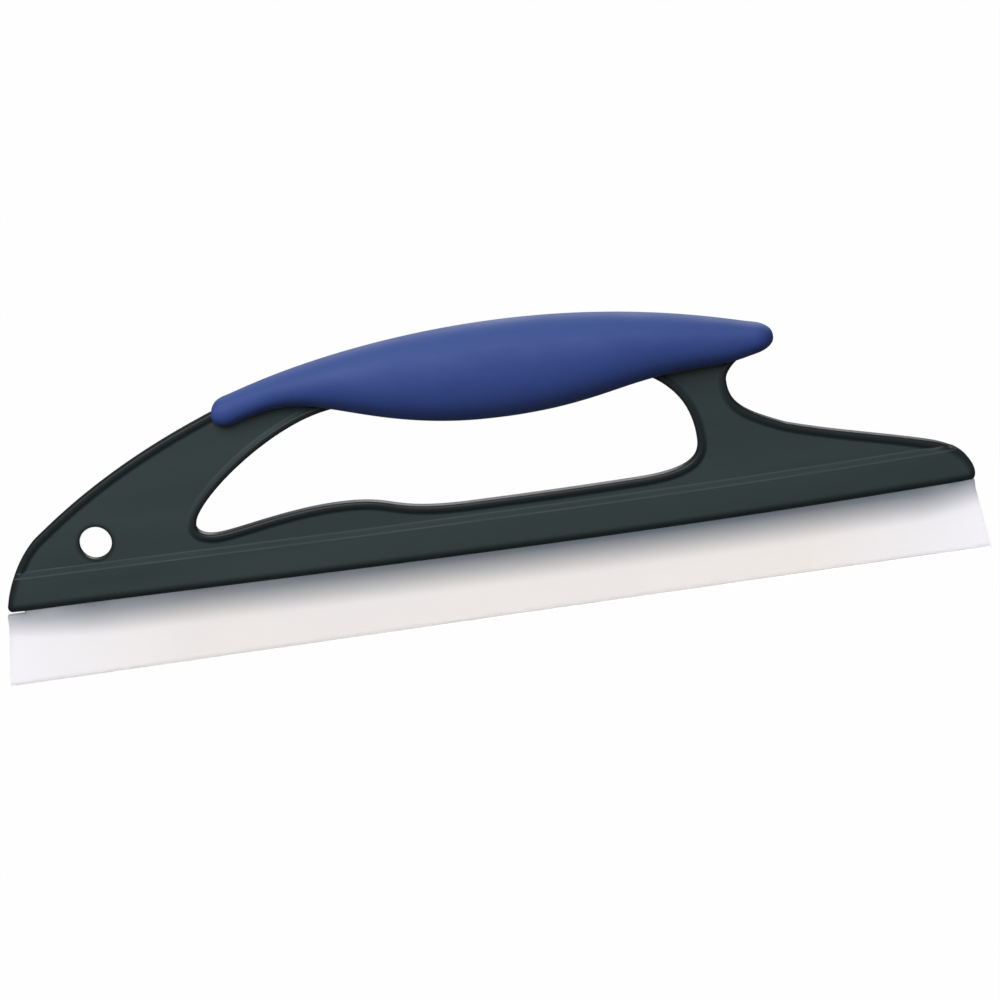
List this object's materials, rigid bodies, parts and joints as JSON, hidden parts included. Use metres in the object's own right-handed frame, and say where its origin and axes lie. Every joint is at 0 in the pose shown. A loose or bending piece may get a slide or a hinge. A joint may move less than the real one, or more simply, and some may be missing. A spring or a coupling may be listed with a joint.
{
  "type": "silicone water blade",
  "caption": "Hand-held water blade with a long flexible silicone blade, a moulded frame with a D-shaped hand opening, a soft grip and a hanging hole.",
  "frame": {"origin": "middle of the blade's working edge, in the tool's mid-plane", "axes": "+X along the working edge from the hanging end to the horn end, +Y through the tool's thickness, +Z from the working edge up to the grip"},
  "size_m": [0.3076, 0.027, 0.0925],
  "materials": {
    "frame_plastic": "satin moulded polypropylene, charcoal grey",
    "soft_grip": "matt soft-touch thermoplastic rubber, blue",
    "silicone": "translucent clear silicone rubber with a satin surface"
  },
  "bodies": {
    "handle": {"frame": "frame_plastic", "grip": "soft_grip", "blade_root": "silicone"},
    "blade": {"blade_lip": "silicone"}
  },
  "joints": [
    {"name": "blade_flex", "type": "hinge", "parent": "handle", "child": "blade", "pos_m": [0, 0, 0.0194], "axis": [1, 0, 0], "range_deg": [-45, 45], "stiffness_Nm_per_rad": 0.1}
  ]
}
